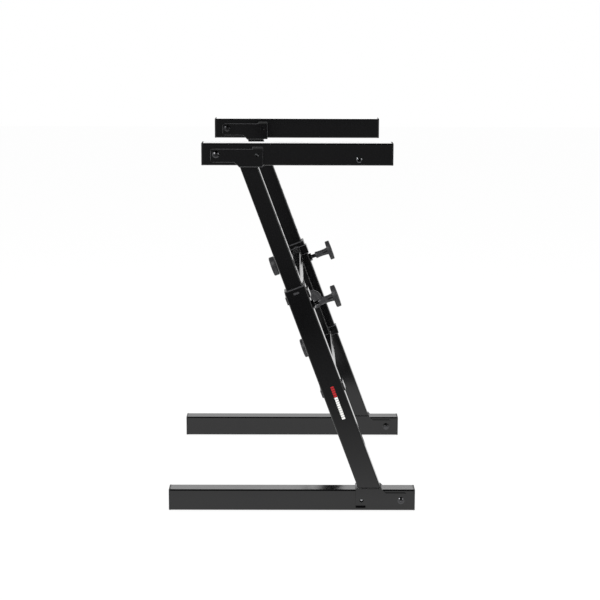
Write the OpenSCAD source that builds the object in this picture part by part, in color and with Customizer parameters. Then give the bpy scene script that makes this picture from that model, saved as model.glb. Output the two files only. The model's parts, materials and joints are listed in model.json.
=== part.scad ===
// Folding keyboard stand. Two leaning side frames, each a base tube, a sleeve, an upright and an
// arm, are joined by two telescoping crossbars.
// +X runs from the front of the stand to its back, +Y from the near frame to the far frame, and
// +Z up. The origin is on the floor, in the middle of the stand. Sizes are in millimetres.

/* [Overall] */
// Length of each base tube, end caps included
base_len = 516; // [480:1:600]
// Length of each arm, end caps included
arm_len = 388; // [330:1:420]
// Height of the arms' top faces above the floor
stand_h = 773; // [680:1:850]
// Lean of the columns from upright, in degrees
col_lean = 20.4; // [17:0.1:23]

/* [Tubes] */
// Height of the base and arm tubes
tube_h = 45; // [42:0.5:50]
// Width of the base and arm tubes across the stand
tube_w = 38; // [36:0.5:44]
// Depth of the sleeves, front to back
sleeve_d = 45; // [44:0.5:50]
// Width of the sleeves across the stand
sleeve_w = 38; // [36:0.5:44]
// Depth of the uprights, front to back
upright_d = 35; // [32:0.5:36]
// Width of the uprights across the stand
upright_w = 28; // [25:0.5:29]
// Side of the crossbars' outer tubes
bar_s = 20; // [18:0.5:25]
// Side of the sliders inside the crossbars
slider_s = 14; // [12:0.5:14.5]
// Wall of every tube
tube_wall = 1.5; // [1.2:0.1:1.6]
// Outer corner radius of the large tubes
tube_r = 3; // [2:0.5:4]
// Outer corner radius of the crossbar tubes
bar_r = 2; // [1.6:0.1:3]

/* [Columns] */
// Length of the sleeve's centre line above the base tube
sleeve_len = 454; // [430:1:480]
// Length of upright inside the sleeve
overlap = 190; // [170:5:210]
// Depth of the plastic bushing in the sleeve's mouth
bushing_len = 60; // [56:1:80]
// Height of the bushing's collar above the sleeve
collar_h = 2.4; // [1.5:0.1:10]
// How much smaller than the sleeve the collar is, on each side
collar_inset = 0.2; // [0:0.1:2]
// Thickness of the sliding glide under the upright
glide_t = 5; // [3:0.5:8]
// Length of the glide's plug inside the upright
glide_plug = 22; // [15:1:40]
// Length of the oval window in the sleeve's sides
window_len = 14; // [10:0.5:18]
// Height of the oval window
window_h = 6; // [4:0.5:8]
// Distance of the window's middle below the sleeve's mouth
window_drop = 8.5; // [8:0.5:16]

/* [Index holes] */
// Distance between the index holes in the uprights
hole_pitch = 25; // [20:1:30]
// Diameter of the index holes
index_d = 8; // [7.8:0.1:10]
// Number of holes above the pin
holes_up = 8; // [4:1:8]
// Number of holes below the pin
holes_down = 4; // [2:1:4]

/* [Brackets] */
// Thickness of the bracket plate
plate_t = 2.5; // [2:0.1:3]
// Distance of the pivot bolt from the tube's end
pivot_inset = 29.5; // [26:0.5:34]
// Distance of the column's centre line from the pivot, along the tube
pivot_offset = 65; // [62:0.5:70]
// Distance of the lock button from the pivot
lock_reach = 82.5; // [80:0.5:90]
// Length of the bracket past the pivot
ear_back = 11; // [9.5:0.5:14]
// Height of the bracket's edge above the pivot
ear_top = 11; // [9.5:0.5:14]
// Depth of the bracket's ear below the pivot
ear_drop = 16; // [12:0.5:18]
// Length of the bracket past the lock button
lock_margin = 12.5; // [10:0.5:16]
// Length of the slanted step between ear and web
step_len = 9; // [6:0.5:12]
// Corner radius of the ear
ear_r = 4; // [2:0.5:6]
// Length of the bent lip beside the lock button
lip_len = 21; // [16:1:24]
// Height of the bent lip
lip_h = 4.5; // [3:0.5:6]
// Outward bend of the lip
lip_out = 2; // [1:0.1:3]

/* [Crossbars] */
// Distance of the upper crossbar's centre below the sleeve's mouth
upper_drop = 19; // [17:0.5:22]
// Distance between the two crossbars' centres
bar_pitch = 209; // [190:1:220]
// Length of the crossbars' outer tubes
bar_len = 506; // [470:2:520]
// Length of the sliders
slider_len = 425; // [380:5:430]
// Part of the sliders that stands out of the crossbars' mouths, which sets the stand's width
slider_bare = 50; // [30:1:200]
// Distance of the brace from the near saddle
brace_at = 190; // [150:5:260]
// Depth of the yoke, front to back
yoke_d = 16; // [15:0.5:20]
// Width of the yoke along the crossbars
yoke_w = 20; // [16:0.5:24]
// Height of the saddles' webs, which carry the crossbars
saddle_h = 21; // [20:0.5:28]
// Height of the saddles' flanges on the fronts and backs of the sleeves
flange_h = 16.5; // [12:0.5:20]
// Thickness of the saddles' plate
saddle_t = 3; // [2.5:0.1:4]
// Part of the sleeve's width that the saddles leave bare
saddle_bare = 7; // [4:0.5:12]
// Length of the bushing in the crossbar's mouth
mouth_len = 22; // [16:1:22]
// Thickness of that bushing's lip
mouth_lip = 3; // [2:0.5:5]

/* [Pull knobs] */
// Distance of the pull pin below the sleeve's mouth
pin_drop = 44.5; // [42:0.5:50]
// Diameter of the pull knob's disc
knob_d = 46; // [40:1:48]
// Thickness of the pull knob's disc
knob_t = 10; // [8:0.5:12]
// Length of the pull knob's stem
stem_len = 31; // [26:0.5:34]
// Stem diameter at the disc
stem_d1 = 18; // [16.5:0.5:20]
// Stem diameter at its tip
stem_d2 = 15.5; // [13.5:0.5:16]
// Diameter of the flutes along the stem
flute_d = 3; // [2:0.5:4]
// Outer diameter of the pin's barrel
barrel_d = 9.4; // [9:0.1:10]
// Wall of the barrel
barrel_wall = 1; // [0.8:0.1:1.2]
// Length of barrel outside the sleeve
barrel_out = 15; // [14:0.5:18]
// Length of the pin's thick end
plunger_len = 9; // [8:0.5:10]
// Diameter of the pin's thin rod
rod_d = 4; // [3:0.1:4.4]
// Width of the barrel's nut across its flats
barrel_nut_af = 16; // [14:0.5:18]
// Thickness of the barrel's nut
barrel_nut_t = 5; // [3:0.5:6]

/* [Round knobs] */
// Diameter of the round knobs
round_d = 45; // [40:1:50]
// Thickness of the round knobs
round_t = 12.5; // [10:0.5:14]
// Radius of their rounded rim
rim_r = 2.5; // [1:0.5:4]
// Distance from the weld nut to the knob's disc
round_stem = 36; // [30:0.5:40]
// Diameter of the stud
stud_d = 8; // [6:0.5:8]
// Width of the weld nut across its flats
weld_nut_af = 14; // [13:0.5:16]
// Thickness of the weld nut
weld_nut_t = 6; // [5:0.5:8]
// Distance of the width knobs from the crossbar's mouth
knob_back = 30; // [27:0.5:36]
// Distance of the yoke's knob below the sleeve's mouth
yoke_knob_drop = 118.5; // [90:0.5:150]

/* [Bolts and locks] */
// Diameter of the pivot bolts
bolt_d = 8; // [7:0.5:10]
// Diameter of the bolt's head
head_d = 14.5; // [13:0.5:16]
// Height of the bolt's head
head_h = 4; // [3:0.5:5]
// Width of the nut across its flats
nut_af = 13; // [12:0.5:16]
// Thickness of the nut
nut_t = 7; // [6:0.5:9]
// Diameter of the washer
washer_d = 16; // [15:0.5:18]
// Thickness of the washer
washer_t = 1.5; // [1:0.1:2]
// Diameter of the lock button
button_d = 8; // [6:0.5:9]
// Length of the lock button
button_len = 8; // [7:0.5:10]
// Thickness of the leaf spring
leaf_t = 0.8; // [0.6:0.1:1.2]
// Width of the leaf spring
leaf_w = 9; // [6:0.5:14]
// Length of the leaf spring
leaf_len = 46; // [36:1:60]

/* [Caps and feet] */
// Thickness of the end caps' flange
cap_t = 3.5; // [2:0.5:5]
// How far the caps stand proud of the tube, less than the tube's gap in its bracket
cap_proud = 0.2; // [0.05:0.05:0.25]
// Length of the caps' plug
cap_plug = 15; // [10:1:18]
// Wall of the caps' plug
cap_wall = 2; // [1.5:0.5:3]
// Diameter of the rubber feet
foot_d = 16; // [12:0.5:20]
// Thickness of the rubber feet
foot_h = 2.5; // [1.5:0.5:4]
// Distance of the feet from the base's ends
foot_inset = 28; // [20:1:40]
// Diameter of the feet's stems
foot_stem_d = 6; // [5:0.5:8]
// Distance of the arm's insert from the arm's back end
insert_inset = 69; // [50:1:90]
// Distance of the insert below the arm's middle
insert_drop = 11; // [6:0.5:12]
// Diameter of the insert's rim
insert_rim_d = 11; // [9:0.5:13]
// Diameter of the insert's bore
insert_bore_d = 6; // [5:0.5:7]

/* [Hidden] */
$fn = 48;
// Overrun of every cut past the faces that it opens
over = 1;
// Gap between pieces that slide or turn on each other, on each side
slide_gap = 0.3;
// Gap round a piece that is pressed or clipped into another
seat_gap = 0.2;
// Gap round a turning pin, on the radius
pin_gap = 0.08;
// Gap between a fixed pin and the upright's face that it stays clear of
tip_gap = 0.4;
// Flat on top of the domed bolt head, and its height as a share of the head's
head_top_d = 9;
head_rim_share = 0.5;
// Depth, width and length of the cross recess in the bolt heads
recess_t = 1.6;
recess_w = 1.8;
recess_len = 7;
// Length of bolt past its nut
bolt_end = 2;
// Collar on the inner end of the lock button, its reach and its thickness
button_rim = 1;
button_rim_t = 1.2;
// Gap round the bushing's clip tab in the oval window
tab_gap = 0.7;
// Rim of the arm's insert outside the tube, its barrel's wall and its length inside
insert_rim_t = 0.6;
insert_wall = 1.2;
insert_len = 12;
// Length of the feet's stems inside the tube
foot_stem_len = 6;
// Depth that a rod or stud reaches into its knob
grip_len = 16;
// Number of flutes on a stem, and how far outside it their middles lie, as a share of their size
flutes = 6;
flute_share = 0.35;
// Wall at the closed end of the barrel
barrel_cap_t = 1.5;
// Stem diameters of the round knobs, at the disc and at the tip
round_stem_d1 = 20;
round_stem_d2 = 16;
// Depth of the dish in the face of the knobs, and its diameter as a share of the knob's
dish_t = 0.8;
dish_share = 0.72;
// Distance at which the yoke's stud stops short of the yoke's far wall
stud_short = 3;

// Levels of the base tube and the arm
base_zc = foot_h + tube_h / 2;
base_top = foot_h + tube_h;
arm_zc = stand_h - tube_h / 2;
arm_bottom = stand_h - tube_h;
// The web of a bracket lies just off its tube
web_gap = slide_gap;
web_out = tube_h / 2 + web_gap + plate_t;
// The pivot of the base, the foot of the column, its head and the pivot of the arm
base_pivot_x = base_len / 2 - pivot_inset;
foot_x = base_pivot_x - pivot_offset;
rise = arm_bottom - base_top;
head_x = foot_x - rise * tan(col_lean);
arm_pivot_x = head_x - pivot_offset;
col_len = rise / cos(col_lean);
// Half spaces that cut a column square to the floor reach this far
cut_reach = tube_h + sleeve_d;
// Faces of the brackets' plates and the tubes, outwards from the tube's middle
tube_face = tube_w / 2;
plate_in = tube_face + slide_gap;
plate_out = plate_in + plate_t;
plate_end = lock_reach + lock_margin;
// Clear space inside the sleeve and the upright
sleeve_in_d = sleeve_d - 2 * tube_wall;
sleeve_in_w = sleeve_w - 2 * tube_wall;
upright_in_d = upright_d - 2 * tube_wall;
upright_in_w = upright_w - 2 * tube_wall;
upright_foot = sleeve_len - overlap;
pin_s = sleeve_len - pin_drop;
// Levels of the crossbars along the column, and their ends across the stand
upper_s = sleeve_len - upper_drop;
lower_s = upper_s - bar_pitch;
frame_gap = bar_len + slider_bare + 2 * saddle_t + sleeve_w;
near_y = -frame_gap / 2 + sleeve_w / 2 + saddle_t;
far_y = -near_y;
mouth_y = near_y + bar_len;
knob_y = mouth_y - knob_back;
yoke_y = mouth_y - yoke_w / 2;
brace_y = near_y + brace_at;
yoke_knob_s = sleeve_len - yoke_knob_drop;
bar_in = bar_s - 2 * tube_wall;
// Outward faces and lengths of the pull pin, measured from the column's centre line
sleeve_face = sleeve_d / 2;
pin_tip = upright_d / 2 + tip_gap;
barrel_in_x = pin_tip + tip_gap;
barrel_end_x = sleeve_face + barrel_out;
plunger_d = barrel_d - 2 * barrel_wall - 2 * pin_gap;
socket_d = barrel_d + 2 * slide_gap;
// Colours of coated steel, plastic, plated steel and rubber
black = "#1b1b1c";
plastic = "#2a2a2b";
grey = "#5c5c5e";
plated = "#4c4c50";
rubber = "#161616";

// Outline of a tube with round corners, w along X and d along Y
module round_rect(w, d, r) {
  square([w - 2 * r, d], center = true);
  square([w, d - 2 * r], center = true);
  for (sx = [-1, 1], sy = [-1, 1])
    translate([sx * (w / 2 - r), sy * (d / 2 - r)])
      circle(r);
}

// Rectangular tube standing on the XY plane
module tube(w, d, r, len) {
  difference() {
    linear_extrude(len) round_rect(w, d, r);
    translate([0, 0, -over])
      linear_extrude(len + 2 * over)
        round_rect(w - 2 * tube_wall, d - 2 * tube_wall, r - tube_wall / 2);
  }
}

// Solid rectangular bar with round corners
module bar(w, d, r, len) {
  linear_extrude(len) round_rect(w, d, r);
}

// Hexagonal prism, af across its flats
module hex(af, len) {
  cylinder(d = af / cos(30), h = len, $fn = 6);
}

// Turns something that stands along Z so that it lies along X, along Y or along -Y
module along_x() { rotate([0, 90, 0]) children(); }
module along_y() { rotate([-90, 0, 0]) children(); }
module along_minus_y() { rotate([90, 0, 0]) children(); }

// Puts a side frame's piece in its place: side -1 is the near frame, 1 the far one.
// A piece is drawn with the outside of the stand towards -Y.
module on_side(side) {
  translate([0, side * frame_gap / 2, 0])
    if (side > 0) mirror([0, 1, 0]) children();
    else children();
}

// The column's own frame: +Z up its centre line, +X to the back of the stand
module on_column() {
  translate([foot_x, 0, base_top])
    rotate([0, -col_lean, 0])
      children();
}

// Frames of the two pivots. A bracket is drawn for the arm: pivot at the origin, tube along +X
// and web below. The base's is the same, turned half round.
module at_arm_pivot() { translate([arm_pivot_x, 0, arm_zc]) children(); }
module at_base_pivot() { translate([base_pivot_x, 0, base_zc]) rotate([0, 180, 0]) children(); }

// A column square cut above the foot bracket's web, or below the arm bracket's web
module above_foot_web() {
  difference() {
    on_column() children();
    translate([foot_x - cut_reach, -cut_reach, base_top + web_gap + plate_t - 2 * cut_reach])
      cube(2 * cut_reach);
  }
}
module below_arm_web() {
  difference() {
    on_column() children();
    translate([head_x - cut_reach, -cut_reach, arm_bottom - web_gap - plate_t])
      cube(2 * cut_reach);
  }
}

// Sleeves and uprights

module sleeve() {
  above_foot_web() {
    difference() {
      translate([0, 0, -sleeve_d / 2])
        tube(sleeve_d, sleeve_w, tube_r, sleeve_len + sleeve_d / 2);
      translate([0, 0, pin_s])
        along_x() cylinder(d = barrel_d + 2 * seat_gap, h = sleeve_d);
      translate([0, 0, sleeve_len - window_drop])
        window(window_len, window_h, sleeve_w + 2 * over);
    }
  }
}

// Oval window through the side walls, len long, h high, through a width w
module window(len, h, w) {
  translate([0, w / 2, 0])
    along_minus_y()
      linear_extrude(w) {
        square([len - h, h], center = true);
        for (sx = [-1, 1]) translate([sx * (len - h) / 2, 0]) circle(d = h);
      }
}

module upright() {
  below_arm_web() {
    difference() {
      translate([0, 0, upright_foot])
        tube(upright_d, upright_w, tube_r, col_len - upright_foot + upright_d / 2);
      for (k = [-holes_down : holes_up])
        translate([0, 0, pin_s + k * hole_pitch])
          along_x() cylinder(d = index_d, h = upright_d);
    }
  }
}

module glide() {
  on_column() {
    translate([0, 0, upright_foot - glide_t])
      bar(sleeve_in_d - 2 * slide_gap, sleeve_in_w - 2 * slide_gap, tube_r, glide_t);
    translate([0, 0, upright_foot])
      bar(upright_in_d - 2 * seat_gap, upright_in_w - 2 * seat_gap, tube_r / 2, glide_plug);
  }
}

module sleeve_bushing() {
  on_column() {
    difference() {
      union() {
        translate([0, 0, sleeve_len - bushing_len])
          bar(sleeve_in_d - 2 * seat_gap, sleeve_in_w - 2 * seat_gap, tube_r / 2, bushing_len);
        translate([0, 0, sleeve_len])
          bar(sleeve_d - 2 * collar_inset, sleeve_w - 2 * collar_inset, tube_r, collar_h);
        translate([0, 0, sleeve_len - window_drop])
          window(window_len - 2 * tab_gap, window_h - 2 * tab_gap, sleeve_w - tube_wall);
      }
      translate([0, 0, sleeve_len - bushing_len - over])
        bar(upright_d + 2 * slide_gap, upright_w + 2 * slide_gap, tube_r,
            bushing_len + collar_h + 2 * over);
      translate([0, 0, pin_s])
        along_x() cylinder(d = barrel_d + 2 * seat_gap, h = sleeve_d);
    }
  }
}

// Brackets

// Outline of a bracket's side plate, pivot at the origin. web_x is where the web starts.
module plate_outline(web_x) {
  translate([ear_r - ear_back, -ear_drop])
    square([web_x + ear_back - ear_r, ear_drop + ear_top]);
  translate([-ear_back, ear_r - ear_drop])
    square([web_x + ear_back, ear_drop + ear_top - 2 * ear_r]);
  for (z = [ear_r - ear_drop, ear_top - ear_r])
    translate([ear_r - ear_back, z]) circle(ear_r);
  polygon([
    [web_x - step_len, -ear_drop], [web_x, -web_out], [plate_end, -web_out],
    [plate_end, ear_top], [web_x - step_len, ear_top]
  ]);
}

// Bent lip along the top edge of a side plate, drawn on the outer plate
module lip() {
  translate([plate_end - lip_len, 0, 0])
    rotate([90, 0, 90])
      linear_extrude(lip_len)
        polygon([
          [-plate_out, ear_top], [-plate_in, ear_top],
          [-plate_in - lip_out, ear_top + lip_h], [-plate_out - lip_out, ear_top + lip_h]
        ]);
}

module bracket(web_x) {
  difference() {
    union() {
      for (side = [-1, 1])
        translate([0, side * (plate_in + plate_t / 2) + plate_t / 2, 0])
          rotate([90, 0, 0]) linear_extrude(plate_t) plate_outline(web_x);
      translate([web_x, -plate_out, -web_out])
        cube([plate_end - web_x, 2 * plate_out, plate_t]);
      lip();
      mirror([0, 1, 0]) lip();
    }
    translate([0, -plate_out - over, 0])
      along_y() cylinder(d = bolt_d + 2 * pin_gap, h = 2 * (plate_out + over));
    translate([lock_reach, -plate_out - over, 0])
      along_y() cylinder(d = button_d + 2 * slide_gap, h = 2 * (plate_out + over));
  }
}

// The web reaches just past the column that stands on it
module arm_bracket() {
  at_arm_pivot() bracket(pivot_offset - upright_d / 2 / cos(col_lean));
}
module foot_bracket() {
  at_base_pivot() bracket(pivot_offset - sleeve_d / 2 / cos(col_lean));
}

// Pivot bolt with its head outside and its washer and nut inside the frame
module pivot_bolt() {
  difference() {
    union() {
      translate([0, -plate_out, 0])
        along_y() cylinder(d = bolt_d, h = 2 * plate_out + washer_t + nut_t + bolt_end);
      translate([0, -plate_out, 0])
        along_minus_y() {
          cylinder(d = head_d, h = head_h * head_rim_share);
          translate([0, 0, head_h * head_rim_share])
            cylinder(d1 = head_d, d2 = head_top_d, h = head_h * (1 - head_rim_share));
        }
      translate([0, plate_out, 0]) {
        along_y() cylinder(d = washer_d, h = washer_t);
        translate([0, washer_t, 0]) along_y() hex(nut_af, nut_t);
      }
    }
    translate([0, -plate_out - head_h + recess_t / 2 - over / 2, 0])
      for (a = [0, 90])
        rotate([0, a, 0]) cube([recess_len, recess_t + over, recess_w], center = true);
  }
}

// Arms and bases. Each is drawn from its pivot, with the tube's long part along +X.

// Bare tube of a whole length len, with its pivot and lock holes
module pivoted_tube(len) {
  difference() {
    translate([cap_t - pivot_inset, 0, 0])
      along_x() tube(tube_h, tube_w, tube_r, len - 2 * cap_t);
    translate([0, -tube_face - over, 0])
      along_y() cylinder(d = bolt_d + 2 * pin_gap, h = tube_w + 2 * over);
    translate([lock_reach, -tube_face - over, 0])
      along_y() cylinder(d = button_d + 2 * slide_gap, h = tube_face);
  }
}

module arm() {
  at_arm_pivot()
    difference() {
      pivoted_tube(arm_len);
      translate([arm_len - pivot_inset - insert_inset, -tube_face - over, -insert_drop])
        along_y()
          cylinder(d = insert_bore_d + 2 * insert_wall + 2 * seat_gap, h = tube_face);
    }
}

module arm_insert() {
  at_arm_pivot()
    translate([arm_len - pivot_inset - insert_inset, -tube_face, -insert_drop])
      difference() {
        union() {
          along_y() cylinder(d = insert_bore_d + 2 * insert_wall, h = insert_len);
          along_minus_y() cylinder(d = insert_rim_d, h = insert_rim_t);
        }
        translate([0, -insert_rim_t - over, 0])
          along_y() cylinder(d = insert_bore_d, h = insert_len + insert_rim_t + 2 * over);
      }
}

module base() {
  difference() {
    at_base_pivot() pivoted_tube(base_len);
    for (sx = [-1, 1])
      translate([sx * (base_len / 2 - foot_inset), 0, foot_h - over])
        cylinder(d = foot_stem_d + 2 * seat_gap, h = tube_wall + 2 * over);
  }
}

// Caps at both ends of a tube of whole length len, drawn from its pivot
module caps(len) {
  for (end = [0, 1])
    translate([end * len - pivot_inset, 0, 0])
      mirror([end, 0, 0])
        along_x()
          difference() {
            union() {
              bar(tube_h + 2 * cap_proud, tube_w + 2 * cap_proud, tube_r, cap_t);
              translate([0, 0, cap_t])
                bar(tube_h - 2 * tube_wall - 2 * seat_gap,
                    tube_w - 2 * tube_wall - 2 * seat_gap, tube_r / 2, cap_plug);
            }
            translate([0, 0, cap_t])
              bar(tube_h - 2 * tube_wall - 2 * cap_wall, tube_w - 2 * tube_wall - 2 * cap_wall,
                  tube_r / 2, cap_plug + over);
          }
}

module base_feet() {
  for (sx = [-1, 1])
    translate([sx * (base_len / 2 - foot_inset), 0, 0]) {
      cylinder(d = foot_d, h = foot_h);
      cylinder(d = foot_stem_d, h = foot_h + foot_stem_len);
    }
}

// Lock button drawn back level with the tube's face, so that the tube is free to turn
module lock_button() {
  translate([lock_reach, pin_gap - tube_face, 0])
    along_y() {
      cylinder(d = button_d, h = button_len);
      translate([0, 0, button_len - button_rim_t])
        cylinder(d = button_d + 2 * button_rim, h = button_rim_t);
    }
}

// Leaf spring bent into a V, one leg behind the button and one on the tube's far wall
module leaf_spring() {
  leg_y = pin_gap - tube_face + button_len + seat_gap;
  wall_y = tube_face - tube_wall - seat_gap;
  translate([lock_reach, 0, -leaf_w / 2])
    linear_extrude(leaf_w)
      polygon([
        [-button_d / 2, leg_y], [button_d / 2, leg_y], [leaf_len, wall_y - 2 * leaf_t],
        [leaf_len, wall_y], [-button_d / 2, wall_y], [-button_d / 2, wall_y - leaf_t],
        [leaf_len - 3 * leaf_t, wall_y - leaf_t], [button_d / 2, leg_y + leaf_t],
        [-button_d / 2, leg_y + leaf_t]
      ]);
}

// Crossbars, saddles, brace and yoke

module saddle() {
  difference() {
    union() {
      translate([-sleeve_d / 2 - saddle_t, saddle_bare - sleeve_w / 2, -flange_h / 2])
        cube([sleeve_d + 2 * saddle_t, sleeve_w - saddle_bare + saddle_t, flange_h]);
      translate([-sleeve_d / 2 - saddle_t, sleeve_w / 2, -saddle_h / 2])
        cube([sleeve_d + 2 * saddle_t, saddle_t, saddle_h]);
    }
    translate([-sleeve_d / 2, -sleeve_w / 2 - over, -saddle_h / 2 - over])
      cube([sleeve_d, sleeve_w + over, saddle_h + 2 * over]);
  }
}

module saddles() {
  on_column()
    for (s = [upper_s, lower_s])
      translate([0, 0, s]) saddle();
}

module crossbar(s) {
  on_column()
    difference() {
      translate([0, near_y, s]) along_y() tube(bar_s, bar_s, bar_r, bar_len);
      translate([-bar_s, knob_y, s]) along_x() cylinder(d = stud_d + 2 * slide_gap, h = bar_s);
    }
}

module slider(s) {
  on_column()
    translate([0, far_y - slider_len, s]) along_y() tube(slider_s, slider_s, bar_r, slider_len);
}

module mouth_bushings() {
  on_column()
    for (s = [upper_s, lower_s])
      translate([0, mouth_y, s])
        difference() {
          union() {
            along_y() bar(bar_s, bar_s, bar_r, mouth_lip);
            translate([0, -mouth_len, 0])
              along_y() bar(bar_in - 2 * seat_gap, bar_in - 2 * seat_gap, bar_r / 2, mouth_len);
          }
          translate([0, -mouth_len - over, 0])
            along_y()
              bar(slider_s + 2 * slide_gap, slider_s + 2 * slide_gap, bar_r,
                  mouth_len + mouth_lip + 2 * over);
        }
}

// Upright piece between the crossbars at y, w deep and d along the crossbars
module between_bars(y, w, d) {
  on_column()
    translate([0, y, lower_s + bar_s / 2])
      tube(w, d, bar_r, bar_pitch - bar_s);
}

// Pull knobs

module pin_barrel() {
  on_column()
    translate([0, 0, pin_s])
      difference() {
        union() {
          translate([barrel_in_x, 0, 0])
            along_x() cylinder(d = barrel_d, h = barrel_end_x - barrel_in_x);
          translate([sleeve_face, 0, 0]) along_x() hex(barrel_nut_af, barrel_nut_t);
        }
        translate([barrel_in_x - over, 0, 0])
          along_x()
            cylinder(d = barrel_d - 2 * barrel_wall,
                     h = barrel_end_x - barrel_cap_t - barrel_in_x + over);
        along_x() cylinder(d = rod_d + 2 * pin_gap, h = barrel_end_x + over);
      }
}

module pull_pin() {
  on_column()
    translate([0, 0, pin_s]) {
      translate([pin_tip, 0, 0]) along_x() cylinder(d = plunger_d, h = plunger_len);
      translate([pin_tip, 0, 0])
        along_x() cylinder(d = rod_d, h = barrel_end_x + grip_len - pin_tip);
    }
}

// The pin's coil spring fills the barrel from the plunger to the barrel's cap
module pin_spring() {
  spring_x = pin_tip + plunger_len + seat_gap;
  on_column()
    translate([spring_x, 0, pin_s])
      along_x()
        difference() {
          cylinder(d = plunger_d, h = barrel_end_x - barrel_cap_t - seat_gap - spring_x);
          translate([0, 0, -over])
            cylinder(d = rod_d + 2 * slide_gap, h = barrel_out + over);
        }
}

// Fluted stem that widens from its tip at the origin to the disc
module fluted_stem(len, d_tip, d_disc) {
  difference() {
    cylinder(d1 = d_tip, d2 = d_disc, h = len);
    for (k = [0 : flutes - 1])
      rotate([0, 0, (k + 0.5) * 360 / flutes])
        translate([d_disc / 2 + flute_d * flute_share, 0, -over])
          cylinder(d = flute_d, h = len + over);
  }
}

module pull_knob() {
  on_column()
    translate([barrel_end_x - slide_gap, 0, pin_s])
      along_x()
        difference() {
          union() {
            fluted_stem(stem_len, stem_d2, stem_d1);
            translate([0, 0, stem_len]) cylinder(d = knob_d, h = knob_t);
          }
          translate([0, 0, -over]) cylinder(d = socket_d, h = grip_len / 2 + over);
          cylinder(d = rod_d + 2 * pin_gap, h = grip_len + slide_gap + seat_gap);
          translate([0, 0, stem_len + knob_t - dish_t])
            cylinder(d = knob_d * dish_share, h = dish_t + over);
        }
}

// Round knobs. Drawn along +Z from the face that carries the weld nut.

module round_knob() {
  translate([0, 0, weld_nut_t + slide_gap])
    difference() {
      union() {
        cylinder(d1 = round_stem_d2, d2 = round_stem_d1, h = round_stem);
        translate([0, 0, round_stem]) round_disc();
      }
      translate([0, 0, -over]) cylinder(d = stud_d + 2 * pin_gap, h = grip_len + seat_gap + over);
      translate([0, 0, round_stem + round_t - dish_t])
        cylinder(d = round_d * dish_share, h = dish_t + over);
    }
}

// Disc with a rounded rim, as one turned outline
module round_disc() {
  rotate_extrude() {
    square([round_d / 2 - rim_r, round_t]);
    translate([0, rim_r]) square([round_d / 2, round_t - 2 * rim_r]);
    for (z = [rim_r, round_t - rim_r])
      translate([round_d / 2 - rim_r, z]) circle(rim_r);
  }
}

// Stud from depth in front of the carrying face to inside the knob
module stud(depth) {
  translate([0, 0, -depth])
    cylinder(d = stud_d, h = depth + weld_nut_t + slide_gap + grip_len);
}

module weld_nut() {
  difference() {
    hex(weld_nut_af, weld_nut_t);
    translate([0, 0, -over]) cylinder(d = stud_d + 2 * pin_gap, h = weld_nut_t + 2 * over);
  }
}

// Frames of the round knobs on the crossbar at level s, and on the yoke
module on_bar_front(s) {
  on_column() translate([-bar_s / 2, knob_y, s]) rotate([0, -90, 0]) children();
}
module on_yoke_front() {
  on_column() translate([0, yoke_y - yoke_w / 2, yoke_knob_s]) along_minus_y() children();
}

// A width knob's stud stops just short of the slider; the yoke's ends inside the yoke
bar_stud_depth = bar_s / 2 - slider_s / 2 - tip_gap;
yoke_stud_depth = yoke_w - tube_wall - stud_short;

module yoke() {
  difference() {
    between_bars(yoke_y, yoke_d, yoke_w);
    on_yoke_front()
      translate([0, 0, -tube_wall - over])
        cylinder(d = stud_d + 2 * slide_gap, h = tube_wall + 2 * over);
  }
}

// The sub-parts, one module per node

module near_sleeve() { color(black) on_side(-1) sleeve(); }
module far_sleeve() { color(black) on_side(1) sleeve(); }
module near_foot_bracket() { color(black) on_side(-1) foot_bracket(); }
module far_foot_bracket() { color(black) on_side(1) foot_bracket(); }
module near_sleeve_bushing() { color(plastic) on_side(-1) sleeve_bushing(); }
module far_sleeve_bushing() { color(plastic) on_side(1) sleeve_bushing(); }
module near_saddles() { color(black) on_side(-1) saddles(); }
module far_saddles() { color(black) on_side(1) saddles(); }
module near_pin_barrel() { color(plated) on_side(-1) pin_barrel(); }
module far_pin_barrel() { color(plated) on_side(1) pin_barrel(); }
module near_pin_spring() { color(plated) on_side(-1) pin_spring(); }
module far_pin_spring() { color(plated) on_side(1) pin_spring(); }
module near_base_pivot() { color(plated) on_side(-1) at_base_pivot() pivot_bolt(); }
module far_base_pivot() { color(plated) on_side(1) at_base_pivot() pivot_bolt(); }
module upper_crossbar() { color(black) crossbar(upper_s); }
module lower_crossbar() { color(black) crossbar(lower_s); }
module crossbar_brace() { color(black) between_bars(brace_y, bar_s, bar_s); }
module crossbar_yoke() { color(black) yoke(); }
module crossbar_bushings() { color(plastic) mouth_bushings(); }
module knob_nuts() {
  color(plated) {
    on_bar_front(upper_s) weld_nut();
    on_bar_front(lower_s) weld_nut();
    on_yoke_front() weld_nut();
  }
}
module upper_slider() { color(black) slider(upper_s); }
module lower_slider() { color(black) slider(lower_s); }
module near_upright() { color(black) on_side(-1) upright(); }
module far_upright() { color(black) on_side(1) upright(); }
module near_upright_glide() { color(plastic) on_side(-1) glide(); }
module far_upright_glide() { color(plastic) on_side(1) glide(); }
module near_arm_bracket() { color(black) on_side(-1) arm_bracket(); }
module far_arm_bracket() { color(black) on_side(1) arm_bracket(); }
module near_arm_pivot() { color(plated) on_side(-1) at_arm_pivot() pivot_bolt(); }
module far_arm_pivot() { color(plated) on_side(1) at_arm_pivot() pivot_bolt(); }
module near_arm() { color(black) on_side(-1) arm(); }
module far_arm() { color(black) on_side(1) arm(); }
module near_arm_caps() { color(plastic) on_side(-1) at_arm_pivot() caps(arm_len); }
module far_arm_caps() { color(plastic) on_side(1) at_arm_pivot() caps(arm_len); }
module near_arm_insert() { color(plated) on_side(-1) arm_insert(); }
module far_arm_insert() { color(plated) on_side(1) arm_insert(); }
module near_arm_button() { color(plated) on_side(-1) at_arm_pivot() lock_button(); }
module far_arm_button() { color(plated) on_side(1) at_arm_pivot() lock_button(); }
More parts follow.
